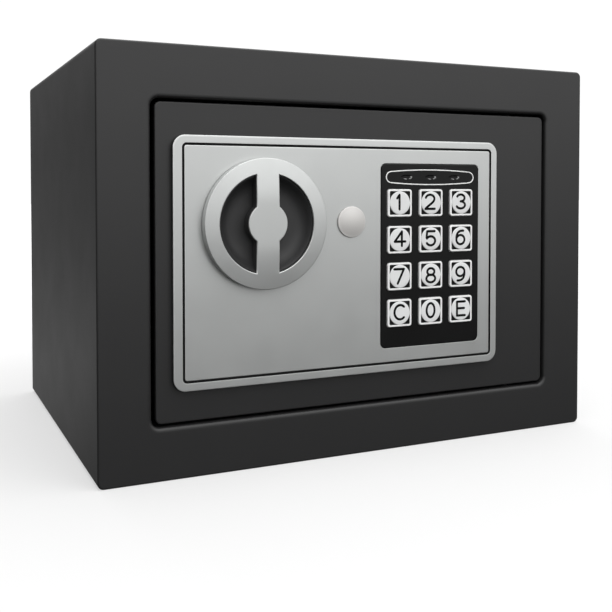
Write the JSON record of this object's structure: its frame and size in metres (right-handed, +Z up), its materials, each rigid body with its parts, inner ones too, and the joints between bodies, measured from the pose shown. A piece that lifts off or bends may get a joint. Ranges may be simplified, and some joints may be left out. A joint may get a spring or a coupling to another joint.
{
  "type": "safe",
  "caption": "Small digital home safe: folded steel cabinet with a recessed hinged door, turn knob, keypad and sliding locking bolts.",
  "frame": {"origin": "centre of the cabinet's underside", "axes": "+X to the right seen from the front, +Y to the back, +Z up; the door faces -Y"},
  "size_m": [0.23, 0.1828, 0.168],
  "materials": {
    "cabinet_paint": "satin",
    "door_paint": "satin",
    "cover_paint": "matte",
    "silver_plastic": "satin",
    "black_gloss": "gloss",
    "black_plastic": "matte",
    "window": "gloss",
    "lamp": "gloss",
    "key_plastic": "satin",
    "silicone": "matte",
    "board": "satin",
    "plated_steel": "satin",
    "yellow_zinc": "satin",
    "chrome_steel": "polished",
    "brass": "satin",
    "coil_tape": "satin",
    "black_screw": "satin",
    "cell": "satin",
    "wire": "satin",
    "red_plastic": "gloss",
    "felt": "matte"
  },
  "bodies": {
    "cabinet": {"body_shell": "cabinet_paint", "rear_panel": "cabinet_paint", "hinge_lugs": "cabinet_paint", "floor_mat": "felt"},
    "door": {"door_plate": "door_paint", "fascia": "silver_plastic", "keypad_plate": "black_gloss", "led_window": "window", "indicator_leds": "lamp", "key_mat": "silicone", "keypad_pcb": "board", "pcb_screws": "plated_steel", "fascia_screws": "plated_steel", "hinge_brackets": "plated_steel", "hinge_pins": "black_screw", "bolt_guide": "yellow_zinc", "guide_rivets": "plated_steel", "guide_studs": "plated_steel", "knob_bush": "brass", "solenoid_frame": "plated_steel", "solenoid_coil": "coil_tape", "solenoid_screws": "plated_steel", "lock_body": "plated_steel", "lock_nut": "plated_steel", "inner_cover": "cover_paint", "cover_posts": "plated_steel", "cover_screws": "black_screw", "battery_holder": "black_plastic", "batteries": "cell", "battery_contacts": "plated_steel", "reset_switch": "black_plastic", "wire_harness": "wire"},
    "knob_group": {"knob": "silver_plastic", "knob_cup": "black_plastic", "knob_spindle": "plated_steel", "crank": "yellow_zinc", "crank_screw": "plated_steel"},
    "bolt_group": {"bolt_carriage": "yellow_zinc", "locking_bolts": "chrome_steel"},
    "plunger": {"solenoid_plunger": "plated_steel", "plunger_spring": "plated_steel"},
    "override_plug": {"lock_plug": "brass", "lock_cam": "yellow_zinc", "cam_screw": "plated_steel"},
    "cap": {"keyhole_cap": "silver_plastic"},
    "battery_lid": {"battery_cover": "black_plastic"},
    "reset": {"reset_button": "red_plastic"},
    "b_key_1": {"key_1": "key_plastic"},
    "b_key_2": {"key_2": "key_plastic"},
    "b_key_3": {"key_3": "key_plastic"},
    "b_key_4": {"key_4": "key_plastic"},
    "b_key_5": {"key_5": "key_plastic"},
    "b_key_6": {"key_6": "key_plastic"},
    "b_key_7": {"key_7": "key_plastic"},
    "b_key_8": {"key_8": "key_plastic"},
    "b_key_9": {"key_9": "key_plastic"},
    "b_key_c": {"key_c": "key_plastic"},
    "b_key_0": {"key_0": "key_plastic"},
    "b_key_e": {"key_e": "key_plastic"}
  },
  "joints": [
    {"name": "door_swing", "type": "hinge", "parent": "cabinet", "child": "door", "pos_m": [0.0767, -0.0805, 0.084], "axis": [0, 0, 1], "range_deg": [0, 105]},
    {"name": "knob_turn", "type": "hinge", "parent": "door", "child": "knob_group", "pos_m": [-0.0486, -0.0895, 0.0986], "axis": [0, -1, 0], "range_deg": [0, 90]},
    {"name": "bolt_throw", "type": "slide", "parent": "door", "child": "bolt_group", "axis": [-1, 0, 0], "range_m": [0, 0.012]},
    {"name": "plunger_drop", "type": "slide", "parent": "door", "child": "plunger", "axis": [0, 0, -1], "range_m": [0, 0.003], "stiffness_N_per_m": 60, "springref_m": 0.003, "deforming": ["plunger_spring"]},
    {"name": "override_turn", "type": "hinge", "parent": "door", "child": "override_plug", "pos_m": [-0.0092, -0.0875, 0.0986], "axis": [0, 1, 0], "range_deg": [0, 90]},
    {"name": "cap_pull", "type": "slide", "parent": "door", "child": "cap", "axis": [0, -1, 0], "range_m": [0, 0.02]},
    {"name": "battery_lid_pull", "type": "slide", "parent": "door", "child": "battery_lid", "axis": [0, 1, 0], "range_m": [0, 0.02]},
    {"name": "reset_press", "type": "slide", "parent": "door", "child": "reset", "axis": [0, -1, 0], "range_m": [0, 0.0015], "stiffness_N_per_m": 500},
    {"name": "key_1_press", "type": "slide", "parent": "door", "child": "b_key_1", "axis": [0, 1, 0], "range_m": [0, 0.0008], "stiffness_N_per_m": 1200},
    {"name": "key_2_press", "type": "slide", "parent": "door", "child": "b_key_2", "axis": [0, 1, 0], "range_m": [0, 0.0008], "stiffness_N_per_m": 1200},
    {"name": "key_3_press", "type": "slide", "parent": "door", "child": "b_key_3", "axis": [0, 1, 0], "range_m": [0, 0.0008], "stiffness_N_per_m": 1200},
    {"name": "key_4_press", "type": "slide", "parent": "door", "child": "b_key_4", "axis": [0, 1, 0], "range_m": [0, 0.0008], "stiffness_N_per_m": 1200},
    {"name": "key_5_press", "type": "slide", "parent": "door", "child": "b_key_5", "axis": [0, 1, 0], "range_m": [0, 0.0008], "stiffness_N_per_m": 1200},
    {"name": "key_6_press", "type": "slide", "parent": "door", "child": "b_key_6", "axis": [0, 1, 0], "range_m": [0, 0.0008], "stiffness_N_per_m": 1200},
    {"name": "key_7_press", "type": "slide", "parent": "door", "child": "b_key_7", "axis": [0, 1, 0], "range_m": [0, 0.0008], "stiffness_N_per_m": 1200},
    {"name": "key_8_press", "type": "slide", "parent": "door", "child": "b_key_8", "axis": [0, 1, 0], "range_m": [0, 0.0008], "stiffness_N_per_m": 1200},
    {"name": "key_9_press", "type": "slide", "parent": "door", "child": "b_key_9", "axis": [0, 1, 0], "range_m": [0, 0.0008], "stiffness_N_per_m": 1200},
    {"name": "key_c_press", "type": "slide", "parent": "door", "child": "b_key_c", "axis": [0, 1, 0], "range_m": [0, 0.0008], "stiffness_N_per_m": 1200},
    {"name": "key_0_press", "type": "slide", "parent": "door", "child": "b_key_0", "axis": [0, 1, 0], "range_m": [0, 0.0008], "stiffness_N_per_m": 1200},
    {"name": "key_e_press", "type": "slide", "parent": "door", "child": "b_key_e", "axis": [0, 1, 0], "range_m": [0, 0.0008], "stiffness_N_per_m": 1200}
  ],
  "couplings": [
    {"joint": "knob_turn", "follows": "bolt_throw", "rad_per_m": 130.89}
  ]
}
